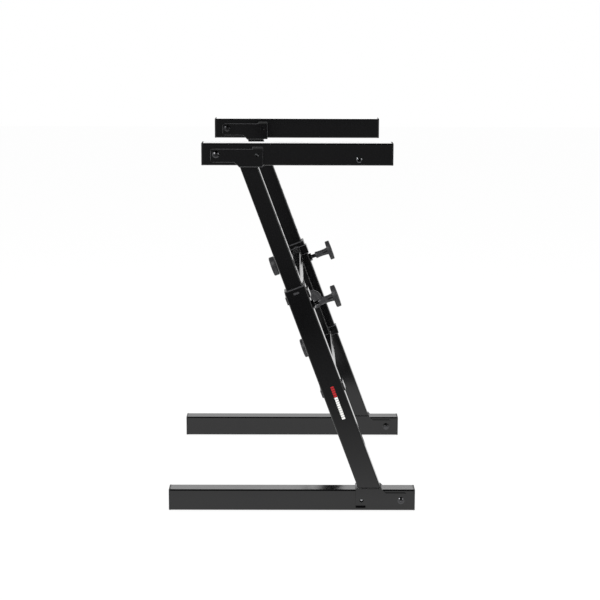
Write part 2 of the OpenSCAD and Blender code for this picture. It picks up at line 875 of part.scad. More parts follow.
module near_arm_leaf() { color(plated) on_side(-1) at_arm_pivot() leaf_spring(); }
module far_arm_leaf() { color(plated) on_side(1) at_arm_pivot() leaf_spring(); }
module near_base() { color(black) on_side(-1) base(); }
module far_base() { color(black) on_side(1) base(); }
module near_base_caps() { color(plastic) on_side(-1) at_base_pivot() caps(base_len); }
module far_base_caps() { color(plastic) on_side(1) at_base_pivot() caps(base_len); }
module near_base_feet() { color(rubber) on_side(-1) base_feet(); }
module far_base_feet() { color(rubber) on_side(1) base_feet(); }
module near_base_button() { color(plated) on_side(-1) at_base_pivot() lock_button(); }
module far_base_button() { color(plated) on_side(1) at_base_pivot() lock_button(); }
module near_base_leaf() { color(plated) on_side(-1) at_base_pivot() leaf_spring(); }
module far_base_leaf() { color(plated) on_side(1) at_base_pivot() leaf_spring(); }
module near_pull_knob() { color(grey) on_side(-1) pull_knob(); }
module far_pull_knob() { color(grey) on_side(1) pull_knob(); }
module near_pull_pin() { color(plated) on_side(-1) pull_pin(); }
module far_pull_pin() { color(plated) on_side(1) pull_pin(); }
module upper_width_knob() { color(grey) on_bar_front(upper_s) round_knob(); }
module lower_width_knob() { color(grey) on_bar_front(lower_s) round_knob(); }
module yoke_knob() { color(grey) on_yoke_front() round_knob(); }
module upper_width_stud() { color(plated) on_bar_front(upper_s) stud(bar_stud_depth); }
module lower_width_stud() { color(plated) on_bar_front(lower_s) stud(bar_stud_depth); }
module yoke_stud() { color(plated) on_yoke_front() stud(yoke_stud_depth); }

near_sleeve();
far_sleeve();
near_foot_bracket();
far_foot_bracket();
near_sleeve_bushing();
far_sleeve_bushing();
near_saddles();
far_saddles();
near_pin_barrel();
far_pin_barrel();
near_pin_spring();
far_pin_spring();
near_base_pivot();
far_base_pivot();
upper_crossbar();
lower_crossbar();
crossbar_brace();
crossbar_yoke();
crossbar_bushings();
knob_nuts();
upper_slider();
lower_slider();
near_upright();
far_upright();
near_upright_glide();
far_upright_glide();
near_arm_bracket();
far_arm_bracket();
near_arm_pivot();
far_arm_pivot();
near_arm();
far_arm();
near_arm_caps();
far_arm_caps();
near_arm_insert();
far_arm_insert();
near_arm_button();
far_arm_button();
near_arm_leaf();
far_arm_leaf();
near_base();
far_base();
near_base_caps();
far_base_caps();
near_base_feet();
far_base_feet();
near_base_button();
far_base_button();
near_base_leaf();
far_base_leaf();
near_pull_knob();
far_pull_knob();
near_pull_pin();
far_pull_pin();
upper_width_knob();
lower_width_knob();
yoke_knob();
upper_width_stud();
lower_width_stud();
yoke_stud();
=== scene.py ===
# %% Load the stand
import json
import math

import bmesh
import bpy
from mathutils import Matrix, Vector

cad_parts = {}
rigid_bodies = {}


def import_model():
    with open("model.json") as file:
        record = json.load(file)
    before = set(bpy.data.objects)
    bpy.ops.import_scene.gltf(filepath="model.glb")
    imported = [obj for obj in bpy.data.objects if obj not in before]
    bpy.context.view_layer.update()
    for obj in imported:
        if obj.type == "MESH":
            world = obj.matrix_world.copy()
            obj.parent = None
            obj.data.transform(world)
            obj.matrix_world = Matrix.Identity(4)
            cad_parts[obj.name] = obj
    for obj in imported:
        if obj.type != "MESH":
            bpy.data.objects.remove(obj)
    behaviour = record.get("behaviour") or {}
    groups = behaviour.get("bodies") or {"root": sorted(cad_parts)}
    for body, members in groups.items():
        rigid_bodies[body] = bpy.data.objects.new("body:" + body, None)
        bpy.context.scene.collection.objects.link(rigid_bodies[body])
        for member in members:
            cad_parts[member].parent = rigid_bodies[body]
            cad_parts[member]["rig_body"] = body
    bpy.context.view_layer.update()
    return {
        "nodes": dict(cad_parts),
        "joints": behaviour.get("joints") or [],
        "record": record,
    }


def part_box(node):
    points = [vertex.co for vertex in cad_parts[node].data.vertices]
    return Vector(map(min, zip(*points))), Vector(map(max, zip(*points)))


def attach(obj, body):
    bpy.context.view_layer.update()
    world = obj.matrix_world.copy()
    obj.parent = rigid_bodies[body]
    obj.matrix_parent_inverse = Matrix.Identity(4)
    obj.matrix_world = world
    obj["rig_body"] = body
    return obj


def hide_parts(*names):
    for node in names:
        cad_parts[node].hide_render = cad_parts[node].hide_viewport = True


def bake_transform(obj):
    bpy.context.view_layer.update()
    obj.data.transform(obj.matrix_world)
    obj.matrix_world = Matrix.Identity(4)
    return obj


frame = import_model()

# %% [markdown]
# # A folding keyboard stand
#
# The stand is two leaning side frames joined by two telescoping crossbars. Every tube, bracket
# and bolt already has its true shape, so this script has two jobs. It gives each part the finish
# that its factory gave it, and it models the things that only show up close: rolled edges, weld
# beads, thread, grip ribs and springs.
#
# All sizes below are in millimetres, turned to Blender's metres by one constant.

# %% Units and the stand's own directions
MM = 0.001
sides = ("near", "far")
joints = {joint["name"]: joint for joint in frame["joints"]}
up = Vector(joints["near_height_slide"]["axis"]).normalized()
back = Vector((up.z, 0, -up.x))
across = Vector((0, 1, 0))
along_floor = Vector((1, 0, 0))
near_out = Vector((0, -1, 0))
lean = math.acos(up.z)

sleeve_depth, sleeve_width = 45 * MM, 38 * MM
tube_height = 45 * MM
pivot_offset = 65 * MM
base_pivot = Vector(joints["near_base_fold"]["pos_m"])
arm_pivot = Vector(joints["near_arm_fold"]["pos_m"])
foot = base_pivot + Vector((-pivot_offset, 0, tube_height / 2))
foot_face = foot.y - sleeve_width / 2
print("the columns lean", round(math.degrees(lean), 2), "degrees from", [round(v, 4) for v in foot])


def on_column(x, y, s):
    """The point x behind the near column's centre line, y across from it and s up it."""
    return foot + back * x + across * y + up * s


# %% [markdown]
# ## Small helpers
#
# A factory colour is easiest to write as a hex value, but a shader wants linear light, so one
# function converts it. A second one adds a shader node and fills its sockets. The materials
# further down are all built alike: noises on the object's own coordinates set the tint, the
# roughness and the bumps of one Principled shader.

# %% Colour and node helpers
def linear(code):
    """An sRGB hex colour as linear red, green, blue and alpha."""
    channels = [int(code[i:i + 2], 16) / 255 for i in (1, 3, 5)]
    return [c / 12.92 if c <= 0.04045 else ((c + 0.055) / 1.055) ** 2.4 for c in channels] + [1]


def add(tree, kind, sockets=None, **settings):
    """Adds a node of that kind, with its settings, and fills its sockets with values or links."""
    made = tree.nodes.new(kind)
    for name, value in settings.items():
        setattr(made, name, value)
    for socket, value in (sockets or {}).items():
        if isinstance(value, bpy.types.NodeSocket):
            tree.links.new(value, made.inputs[socket])
        else:
            made.inputs[socket].default_value = value
    return made


def new_material(name):
    """An empty material and its node tree."""
    material = bpy.data.materials.new(name)
    material.use_nodes = True
    material.node_tree.nodes.clear()
    return material, material.node_tree


def shaded(tree, colour, rough, relief, strength, **sockets):
    """Ends a material in a Principled shader whose bumps follow a noise."""
    bump = add(tree, "ShaderNodeBump", {
        "Height": relief, "Strength": strength, "Distance": 0.1 * MM})
    shader = add(tree, "ShaderNodeBsdfPrincipled", {
        "Base Color": colour, "Roughness": rough, "Normal": bump.outputs["Normal"], **sockets})
    add(tree, "ShaderNodeOutputMaterial", {"Surface": shader.outputs["BSDF"]})


# %% [markdown]
# The mesh helpers turn a finished bmesh into a mesh and make it a piece that moves with the right
# body of the stand. The side frames mirror each other, so a piece made for the near frame is
# reflected to make the far one.

# %% Mesh helpers
made_pieces = []


def linked(name, data):
    """A new object in the scene, for a mesh, a lamp or a camera."""
    made = bpy.data.objects.new(name, data)
    bpy.context.scene.collection.objects.link(made)
    return made


def finish_mesh(bm, name, sharp=35, reflect=False, flat_above=None):
    """Turns a bmesh into a smooth mesh with sharp creases, and frees it.

    The mesh is reflected if asked, and faces past an area are kept flat."""
    if reflect:
        bmesh.ops.transform(bm, matrix=Matrix.Diagonal((1, -1, 1, 1)), verts=bm.verts)
        bmesh.ops.reverse_faces(bm, faces=bm.faces)
    mesh = bpy.data.meshes.new(name)
    bm.to_mesh(mesh)
    bm.free()
    mesh.shade_smooth()
    mesh.set_sharp_from_angle(angle=math.radians(sharp))
    if flat_above:
        for polygon in mesh.polygons:
            polygon.use_smooth = polygon.area < flat_above
    return mesh


def place(name, bm, material, body, nodes=(), **finish):
    """Makes a bmesh a piece that moves with a body, if any, and stands for some CAD nodes."""
    mesh = finish_mesh(bm, name, **finish)
    mesh.materials.append(material)
    piece = linked(name, mesh)
    if body:
        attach(piece, body)
    if nodes:
        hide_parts(*nodes)
    made_pieces.append(name)
    return piece


# %% [markdown]
# ## Powder coat
#
# The frame is mild steel tube, welded, then sprayed with dry black polyester powder and baked.
# The powder melts into a hard gloss skin that never gets quite flat: it keeps a faint orange
# peel, with lumps 2 to 3 mm across. What we see on it is mostly the studio: a black face
# reflects about 4 per cent of what stands in front of it, and far more at a glancing angle,
# which is why the base tubes' tops look pale. A Principled shader with an index of 1.5 does
# exactly this, so the work is in the roughness, which drifts a little where it was rubbed.
#
# The near sleeve carries a narrow screen-printed strip of ticks on its outer face, as a guide
# when both heights are set alike. It is flat ink, so the shader measures how far each point is
# up the column and behind its centre line, and paints it by those.

# %% Printed ticks
strip_low, strip_red, strip_high = 162 * MM, 212 * MM, 236 * MM
strip_behind, strip_half = 1 * MM, 3.4 * MM
ink_reach = 0.3 * MM
tick_pitch, tick_share = 5 * MM, 0.8


def printed_ticks(tree, place_on, colour):
    """Paints red and white ticks over a colour, on the near sleeve's outer face."""
    height, behind = (add(tree, "ShaderNodeVectorMath", {0: place_on, 1: axis},
                          operation="DOT_PRODUCT").outputs["Value"] for axis in (up, back))
    sideways = add(tree, "ShaderNodeSeparateXYZ", {0: place_on}).outputs["Y"]
    ground = foot.dot(up)
    steps = add(tree, "ShaderNodeMath", {0: height, 1: tick_pitch}, operation="DIVIDE")
    share = add(tree, "ShaderNodeMath", {0: steps.outputs[0]}, operation="FRACT")
    inked = add(tree, "ShaderNodeMath", {0: share.outputs[0], 1: tick_share},
                operation="LESS_THAN")
    for value, middle, half in (
            (behind, foot.dot(back) + strip_behind, strip_half),
            (height, ground + (strip_low + strip_high) / 2, (strip_high - strip_low) / 2),
            (sideways, foot_face, ink_reach)):
        near = add(tree, "ShaderNodeMath", {0: value, 1: middle, 2: half}, operation="COMPARE")
        inked = add(tree, "ShaderNodeMath", {0: inked.outputs[0], 1: near.outputs[0]},
                    operation="MULTIPLY")
    is_red = add(tree, "ShaderNodeMath", {0: height, 1: ground + strip_red},
                 operation="GREATER_THAN").outputs[0]
    ink = add(tree, "ShaderNodeMix", {
        "Factor": is_red, "A": linear("#f7f7f4"), "B": linear("#b3272c")}, data_type="RGBA")
    return add(tree, "ShaderNodeMix", {
        "Factor": inked.outputs[0], "A": colour, "B": ink.outputs["Result"]},
        data_type="RGBA").outputs["Result"]


# %% Powder coat material
peel_size = 3 * MM
rub_size = 90 * MM


def powder_coat(name, dark="#09090a", light="#0e0e0f", ticks=False):
    material, tree = new_material(name)
    place_on = add(tree, "ShaderNodeTexCoord").outputs["Object"]
    peel = add(tree, "ShaderNodeTexNoise", {
        "Vector": place_on, "Scale": 1 / peel_size, "Detail": 1}).outputs["Fac"]
    rub = add(tree, "ShaderNodeTexNoise", {
        "Vector": place_on, "Scale": 1 / rub_size, "Detail": 5}).outputs["Fac"]
    rough = add(tree, "ShaderNodeMapRange", {
        "Value": rub, "From Min": 0.3, "From Max": 0.7, "To Min": 0.08, "To Max": 0.15})
    tint = add(tree, "ShaderNodeMix", {
        "Factor": rub, "A": linear(dark), "B": linear(light)}, data_type="RGBA")
    colour = tint.outputs["Result"]
    if ticks:
        colour = printed_ticks(tree, place_on, colour)
    shaded(tree, colour, rough.outputs["Result"], peel, 0.12, IOR=1.5)
    return material


coat = powder_coat("powder_coated_steel")
printed_coat = powder_coat("powder_coat_with_printed_ticks", ticks=True)
# A much paler copy of the coat: a painted highlight for the narrow faces along the edges.
edge_highlight_coat = powder_coat("powder_coat_with_painted_edge_highlight", "#4c4c4e", "#69696b")
print("made", coat.name + ",", printed_coat.name, "and", edge_highlight_coat.name)

# %% [markdown]
# ## Moulded plastics
#
# The end caps, glides and the sleeves' bushings are black polyethylene, and the knobs are a dark
# grey nylon. The bushings are given a greyer tint: a painted highlight that shows as a pale line
# round each collar. Their tools are spark-eroded, which leaves an even grain of about 0.3 mm that
# scatters the shine. That is far below one pixel here, so it is drawn at 1.2 mm, where it just
# breaks up the highlights. A slow noise moves the colour up and down where the melt flowed.

# %% Moulded plastic materials
grain_size = 1.2 * MM
flow_size = 22 * MM


def moulded(name, dark, light, rough_low, rough_high):
    material, tree = new_material(name)
    place_on = add(tree, "ShaderNodeTexCoord").outputs["Object"]
    grain = add(tree, "ShaderNodeTexNoise", {
        "Vector": place_on, "Scale": 1 / grain_size, "Detail": 2}).outputs["Fac"]
    flow = add(tree, "ShaderNodeTexNoise", {
        "Vector": place_on, "Scale": 1 / flow_size, "Detail": 3, "Distortion": 0.6}).outputs["Fac"]
    rough = add(tree, "ShaderNodeMapRange", {
        "Value": grain, "To Min": rough_low, "To Max": rough_high})
    tint = add(tree, "ShaderNodeMix", {
        "Factor": flow, "A": linear(dark), "B": linear(light)}, data_type="RGBA")
    shaded(tree, tint.outputs["Result"], rough.outputs["Result"], grain, 0.2, IOR=1.52)
    return material


polyethylene = moulded("moulded_black_polyethylene", "#0c0c0d", "#131314", 0.34, 0.48)
# The bushings' greyer tint is a painted highlight: the pale line of light round each collar.
collar_highlight_plastic = moulded("black_polyethylene_with_painted_highlight", "#343436", "#454547", 0.3, 0.44)
nylon = moulded("moulded_grey_nylon", "#2a2a2c", "#373739", 0.36, 0.54)
print("made", polyethylene.name + ",", collar_highlight_plastic.name, "and", nylon.name)

# %% [markdown]
# ## Black zinc and spring steel
#
# Bolts, nuts, studs and pins are steel with a thin layer of zinc that a chromate bath has turned
# black. It is still a metal surface, so Metallic is 1, and the dark grey is the reflection's own
# tint: the heads look black, apart from sharp glints of the lamps. A noise on the roughness gives
# the cloudy patches of the plating barrel. The springs, the lock buttons and the inserts are bare
# ground steel, which is paler.

# %% Metal materials
def plated(name, dark, light, rough_low, rough_high, cloud_size):
    material, tree = new_material(name)
    place_on = add(tree, "ShaderNodeTexCoord").outputs["Object"]
    cloud = add(tree, "ShaderNodeTexNoise", {
        "Vector": place_on, "Scale": 1 / cloud_size, "Detail": 6}).outputs["Fac"]
    rough = add(tree, "ShaderNodeMapRange", {
        "Value": cloud, "From Min": 0.3, "From Max": 0.7,
        "To Min": rough_low, "To Max": rough_high})
    tint = add(tree, "ShaderNodeMix", {
        "Factor": cloud, "A": linear(dark), "B": linear(light)}, data_type="RGBA")
    shaded(tree, tint.outputs["Result"], rough.outputs["Result"], cloud, 0.08, Metallic=1.0)
    return material


zinc = plated("black_zinc_plate", "#3e3e3f", "#575759", 0.05, 0.14, 4 * MM)
spring_steel = plated("ground_spring_steel", "#97989b", "#b5b6b9", 0.07, 0.16, 6 * MM)
print("made", zinc.name, "and", spring_steel.name)

# %% [markdown]
# ## Rubber
#
# The feet are black natural rubber, pressed in a mould and dusted with talc. Its highlight is
# broad and weak, and the dust shows as paler specks: a fine noise pushed through a steep ramp.

# %% Rubber material
speck_size = 1.5 * MM
rubber, tree = new_material("pressed_black_rubber")
place_on = add(tree, "ShaderNodeTexCoord").outputs["Object"]
speck = add(tree, "ShaderNodeTexNoise", {
    "Vector": place_on, "Scale": 1 / speck_size, "Detail": 4}).outputs["Fac"]
dust = add(tree, "ShaderNodeMapRange", {"Value": speck, "From Min": 0.58, "From Max": 0.72})
tint = add(tree, "ShaderNodeMix", {
    "Factor": dust.outputs["Result"], "A": linear("#141414"), "B": linear("#2c2b2a")},
    data_type="RGBA")
shaded(tree, tint.outputs["Result"], 0.78, speck, 0.25)
print("made", rubber.name)

# %% [markdown]
# ## Dressing the frame
#
# The record of the stand says which finish each node has, so one loop dresses them all. Nodes
# that get a finer piece further down are hidden then, but keep their finish here. A table lists
# the slot that belongs to each material.

# %% Give every CAD node its finish
finishes = {
    "coated_steel": coat,
    "black_plastic": polyethylene,
    "grey_plastic": nylon,
    "zinc_plated_steel": zinc,
    "spring_steel": spring_steel,
    "rubber": rubber,
}
for part in frame["record"]["subparts"]:
    dressed = frame["nodes"][part["node"]].data.materials
    dressed.clear()
    dressed.append(finishes[part["material_slot"]])
frame["nodes"]["near_sleeve"].data.materials[0] = printed_coat
slots = {material.name: slot for slot, material in finishes.items()}
# The bushings are black plastic; their greyer tint is a painted highlight.
slots[collar_highlight_plastic.name] = "black_plastic"

# %% [markdown]
# ## Rolled edges
#
# The brackets and saddles are pressed from 2.5 and 3 mm plate. A press leaves no knife edges,
# and the coat rounds them further, so each edge catches a thin line of light. The node's own mesh
# is copied, its loose triangles are merged, those that lie in one plane are joined, and every
# edge sharper than 30 degrees is bevelled. The narrow faces along the arm brackets' and saddles'
# long edges get a paler material: a painted highlight that stands for that thin line of light.

# %% Soften a copy of a node's mesh
sharp_edge = math.radians(30)


def bevelled(bm, edges, radius, segments, loop_slide=False):
    """Rounds some edges by a radius."""
    bmesh.ops.bevel(bm, geom=edges, offset=radius, offset_type="OFFSET", affect="EDGES",
                    segments=segments, profile=0.5, material=-1, clamp_overlap=True,
                    loop_slide=loop_slide)


def softened(node, radius, segments=2):
    """A bmesh copy of a CAD node with its sharp edges rounded by the radius."""
    bm = bmesh.new()
    bm.from_mesh(frame["nodes"][node].data)
    bmesh.ops.remove_doubles(bm, verts=bm.verts, dist=0.005 * MM)
    bmesh.ops.dissolve_limit(bm, angle_limit=math.radians(1), verts=bm.verts, edges=bm.edges,
                             delimit={"NORMAL"})
    sharp = [e for e in bm.edges if len(e.link_faces) == 2 and e.calc_face_angle() > sharp_edge]
    bevelled(bm, sharp, radius, segments, loop_slide=True)
    return bm


# %% Replace nodes with their softened copies
edge_width, edge_length = 0.35 * MM, 5 * MM
flat_area = (3 * MM) ** 2


def paint_edge_highlights(mesh, material):
    """Gives the narrow, long faces a second, paler material: a painted highlight along the edges.
    """
    mesh.materials.append(material)
    for polygon in mesh.polygons:
        around = sum((mesh.vertices[a].co - mesh.vertices[b].co).length
                     for a, b in polygon.edge_keys)
        polygon.material_index = int(polygon.area / around < edge_width and around > edge_length)


def soften_nodes(nodes, radius, segments, material, edge_highlight_material=None):
    """Replaces each node with its softened copy, on the node's body. Its big faces stay flat."""
    for node in nodes:
        piece = place("rolled_" + node, softened(node, radius, segments), material,
                      frame["nodes"][node]["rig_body"], [node], flat_above=flat_area)
        if edge_highlight_material:
            paint_edge_highlights(piece.data, edge_highlight_material)
    print("rolled the edges of", ", ".join(nodes))


def pair(name):
    """The near frame's node of that name and the far frame's."""
    return [f"{side}_{name}" for side in sides]


soften_nodes(pair("foot_bracket"), 1.1 * MM, 3, coat)
# The paler second material on the narrow edge faces is a painted highlight.
soften_nodes(pair("arm_bracket"), 1.1 * MM, 3, coat, edge_highlight_coat)
soften_nodes(pair("saddles"), 0.8 * MM, 2, coat, edge_highlight_coat)

# %% [markdown]
# The bushing that lines each sleeve's mouth is moulded, and its collar shows at the joint between
# the two halves of a column. The bushings in the crossbars' mouths and the rubber feet are
# rounded in the same way.

# %% Rounded mouldings
# The collars' greyer tint is a painted highlight.
soften_nodes(pair("sleeve_bushing"), 0.4 * MM, 3, collar_highlight_plastic)
soften_nodes(["crossbar_bushings"], 0.6 * MM, 3, polyethylene)
soften_nodes(pair("base_feet"), 0.6 * MM, 3, rubber)

# %% [markdown]
# ## End caps
#
# Each tube ends in a push-in cap. The flange outside is a rounded slab with soft outer edges
# and a slightly sunken face, where the moulding shrank as it cooled. The plug that holds it
# can't be seen, so it is a plain rounded box. The slab starts as a cube: its long edges are
# bevelled to the tube's corner radius first, then the rim of the outer face by less.

# %% Shape one end cap
cap_corner = 3 * MM
cap_rim = 1.1 * MM
sink_inset, sink_slope, sink_depth = 4 * MM, 1 * MM, 0.3 * MM
plug_length = 15 * MM
plug_inset = 1.9 * MM


def rounded_box(bm, low, high, radius, segments):
    """Adds a box between two corners, with the edges that run along X rounded."""
    made = bmesh.ops.create_cube(bm, size=1)["verts"]
    bmesh.ops.scale(bm, vec=high - low, verts=made)
    bmesh.ops.translate(bm, vec=(high + low) / 2, verts=made)
    inside = set(made)
    bevelled(bm, [e for e in bm.edges if set(e.verts) <= inside
                  and abs(e.verts[0].co.x - e.verts[1].co.x) > 0.1 * MM], radius, segments)


def cap(bm, low, high, outer):
    """One cap between the flange's corners; outer is -1 where it closes the tube's front end."""
    known = set(bm.faces)

    def end_face():
        slab = [f for f in bm.faces if f not in known]
        return max(slab, key=lambda f: f.calc_center_median().x * outer)

    rounded_box(bm, low, high, cap_corner, 5)
    bevelled(bm, list(end_face().edges), cap_rim, 3)
    sunk = end_face()
    bmesh.ops.inset_individual(bm, faces=[sunk], thickness=sink_inset, depth=0)
    bmesh.ops.inset_individual(bm, faces=[sunk], thickness=sink_slope, depth=-sink_depth)
    inner_x = low.x if outer > 0 else high.x
    plug_x = sorted((inner_x, inner_x - outer * plug_length))
    plug_low = Vector((plug_x[0], low.y + plug_inset, low.z + plug_inset))
    plug_high = Vector((plug_x[1], high.y - plug_inset, high.z - plug_inset))
    rounded_box(bm, plug_low, plug_high, cap_corner / 2, 3)


# %% Model the end caps
cap_flange = 3.5 * MM


def make_caps(node):
    """Both caps of one tube, from the box of the CAD node that they replace."""
    low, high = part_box(node)
    bm = bmesh.new()
    cap(bm, low, Vector((low.x + cap_flange, high.y, high.z)), -1)
    cap(bm, Vector((high.x - cap_flange, low.y, low.z)), high, 1)
    bmesh.ops.recalc_face_normals(bm, faces=bm.faces)
    return bm


for side in sides:
    for tube in ("arm", "base"):
        node = f"{side}_{tube}_caps"
        place(f"{side}_{tube}_end_caps", make_caps(node), polyethylene,
              frame["nodes"][node]["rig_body"], [node], flat_above=flat_area)
print("made eight end caps")

# %% [markdown]
# ## Knobs
#
# All five knobs are one family of nylon mouldings: a disc with a fully rounded rim and fine grip
# ribs, on a stem. Each is a profile spun round an axis. Then every second face of the rim is
# pushed in by half a millimetre, which leaves the ribs. The pull knobs have a slimmer stem with
# flutes for the fingers, which narrows towards the sleeve.

# %% Spin a knob
rib_count = 44
rib_inset, rib_depth = 0.25 * MM, 0.5 * MM
dish_depth, dish_slope = 0.8 * MM, 1.2 * MM


def spun(bm, profile, steps):
    """Spins a profile of (radius, height) points round Z, then points its faces outwards."""
    verts = [bm.verts.new((r, 0, z)) for r, z in profile]
    edges = [bm.edges.new(ends) for ends in zip(verts, verts[1:])]
    bmesh.ops.spin(bm, geom=verts + edges, axis=(0, 0, 1), cent=(0, 0, 0), dvec=(0, 0, 0),
                   angle=math.tau, steps=steps, use_merge=True)
    bmesh.ops.remove_doubles(bm, verts=bm.verts, dist=0.01 * MM)
    bmesh.ops.recalc_face_normals(bm, faces=bm.faces)


def arc(radius, middle, start, end, count):
    """Points of a round stretch of a profile, from one angle to another in degrees."""
    angles = [math.radians(start + (end - start) * i / count) for i in range(count + 1)]
    return [(middle[0] + radius * math.cos(a), middle[1] + radius * math.sin(a)) for a in angles]


def knob_disc(radius, thickness, rim, bottom):
    """Profile of a disc that stands on height bottom, from its underside round to its face."""
    top = bottom + thickness
    inner = radius * 0.7
    floor, ring = top - dish_depth, top - dish_depth * 0.6
    return (arc(rim, (radius - rim, bottom + rim), -90, 0, 4)
            + arc(rim, (radius - rim, top - rim), 0, 90, 4)
            + [(inner + dish_slope, top), (inner, floor), (inner * 0.45, floor),
               (inner * 0.42, ring), (inner * 0.38, ring), (inner * 0.35, floor), (0, floor)])


def push_in_ribs(bm, radius, bottom, thickness):
    """Sinks every second strip of the disc's rim, to leave the grip ribs."""
    step = math.tau / (2 * rib_count)
    chosen = []
    for f in bm.faces:
        middle = f.calc_center_median()
        on_rim = (middle.xy.length > radius * 0.97 and bottom < middle.z < bottom + thickness
                  and abs(f.normal.z) < 0.3)
        if on_rim and int(math.atan2(middle.y, middle.x) / step + 4 * rib_count) % 2:
            chosen.append(f)
    bmesh.ops.inset_individual(bm, faces=chosen, thickness=rib_inset, depth=-rib_depth)


# %% [markdown]
# The three round knobs clamp the crossbars and the yoke. Their stem is a plain cone with a
# hollow end that hides the stud. Each stud has its own depth below its nut's seat.

# %% Round clamp knobs
round_radius, round_thickness, round_rim = 22.5 * MM, 12.5 * MM, 2.2 * MM
round_stem = 36 * MM
stem_tip, stem_tip_bevel = 7.4 * MM, 0.6 * MM
stem_end, neck, neck_radius = 9.6 * MM, 11.1 * MM, 1.5 * MM
stud_hole, socket_depth = 4.1 * MM, 17 * MM
nut_height = 6.3 * MM
clamps = (("upper_width", 2.6 * MM), ("lower_width", 2.6 * MM), ("yoke", 15.5 * MM))


def round_knob():
    """A round knob along +Z, with the tip of its stem at the origin."""
    bm = bmesh.new()
    profile = ([(0, socket_depth), (stud_hole, socket_depth), (stud_hole, 0), (stem_tip, 0),
                (stem_tip + stem_tip_bevel, stem_tip_bevel), (stem_end, round_stem - neck_radius)]
               + arc(neck_radius, (neck, round_stem - neck_radius), 180, 90, 3)
               + knob_disc(round_radius, round_thickness, round_rim, round_stem))
    spun(bm, profile, 2 * rib_count)
    push_in_ribs(bm, round_radius, round_stem, round_thickness)
    return bm


def put(bm, origin, direction):
    """Moves a piece made along +Z to an origin, pointing in a direction."""
    turn = direction.to_track_quat("Z", "Y").to_matrix().to_4x4()
    bmesh.ops.transform(bm, matrix=Matrix.Translation(origin) @ turn, verts=bm.verts)


def seat_of(body):
    """Where the joint that moves a body sits, and which way it points."""
    turning = next(joint for joint in frame["joints"] if joint["child"] == body)
    return Vector(turning["pos_m"]), Vector(turning["axis"])


for clamp, _ in clamps:
    seat, direction = seat_of(clamp + "_clamp")
    bm = round_knob()
    put(bm, seat + direction * nut_height, direction)
    place(f"ribbed_{clamp}_knob", bm, nylon, clamp + "_clamp", [clamp + "_knob"], sharp=50)
print("made", len(clamps), "round knobs")

# %% [markdown]
# The pull knobs draw a spring pin out of the upright. The stem's tip is a socket that slides
# over the pin's barrel when the pin drops into a hole, so it is hollow. The flutes are cut by
# moving the stem's vertices towards its axis wherever a cosine round the stem says so, more
# near the disc than at the tip.

# %% Pull knobs
sleeve_length = 454 * MM
pin_drop = 44.5 * MM
pin_height = sleeve_length - pin_drop
sleeve_face = sleeve_depth / 2
barrel_length, barrel_radius = 15 * MM, 4.7 * MM
pull_radius, pull_thickness, pull_rim = 23 * MM, 10 * MM, 1.6 * MM
pull_stem = 31 * MM
pull_socket, pull_socket_depth = barrel_radius + 0.3 * MM, 8 * MM
pull_tip, pull_tip_bevel, pull_waist = 7.75 * MM, 0.5 * MM, 7.4 * MM
flute_count, flute_depth = 6, 1.5 * MM
flutes_low, flutes_deepen, flutes_high = 8 * MM, 20 * MM, 30 * MM


def pull_knob():
    """A pull knob along +Z, with the tip of its stem at the origin."""
    bm = bmesh.new()
    profile = ([(0, pull_socket_depth), (pull_socket, pull_socket_depth), (pull_socket, 0),
                (pull_tip - pull_tip_bevel, 0), (pull_tip, pull_tip_bevel), (pull_tip, 5 * MM)]
               + [(pull_waist, z * MM) for z in (6.5, 10, 14, 18)]
               + [(7.6 * MM, 22 * MM), (8 * MM, 26 * MM), (8.5 * MM, 29 * MM), (9 * MM, pull_stem)]
               + knob_disc(pull_radius, pull_thickness, pull_rim, pull_stem))
    spun(bm, profile, 2 * rib_count)
    for vert in bm.verts:
        reach = vert.co.xy.length
        if reach > 0.85 * pull_waist and flutes_low < vert.co.z < flutes_high:
            angle = math.atan2(vert.co.y, vert.co.x)
            depth = flute_depth if vert.co.z < flutes_deepen else 3 * flute_depth
            vert.co.xy *= 1 - depth * math.cos(flute_count / 2 * angle) ** 2 / reach
    push_in_ribs(bm, pull_radius, pull_stem, pull_thickness)
    put(bm, on_column(sleeve_face + barrel_length - 0.3 * MM, 0, pin_height), back)
    return bm


def both_sides(name, make, material, body, node, **finish):
    """Makes a piece for the near frame and its mirror image for the far one."""
    for side in sides:
        place(f"{side}_{name}", make(), material, f"{side}_{body}", [f"{side}_{node}"],
              reflect=side == "far", **finish)
    print("made", name, "for both side frames")


both_sides("fluted_pull_knob", pull_knob, nylon, "height_pull", "pull_knob", sharp=50)

# %% [markdown]
# ## The pull pin's barrel
#
# The pin runs in a threaded barrel that screws into the sleeve and is held by a hexagon nut.
# The thread is drawn as rings, because at this size a helix looks the same, and rings spin in
# one go. The nut starts as a six-sided prism. Its corners are bevelled as a lathe would turn
# them, and its end faces are swapped for bridges to the two rings of the bore.

# %% Thread and nut
thread_pitch, thread_depth = 1 * MM, 0.35 * MM
nut_flats, nut_thickness, nut_bevel = 16 * MM, 5 * MM, 0.6 * MM


def thread(radius, low, high):
    """Profile points of a thread, drawn as rings, from one height up to another."""
    points = []
    count = int((high - low) / thread_pitch - 0.5)
    for i in range(count):
        z = low + i * thread_pitch
        points += [(radius, z), (radius - thread_depth, z + thread_pitch / 2)]
    return points + [(radius, low + count * thread_pitch), (radius, high)]


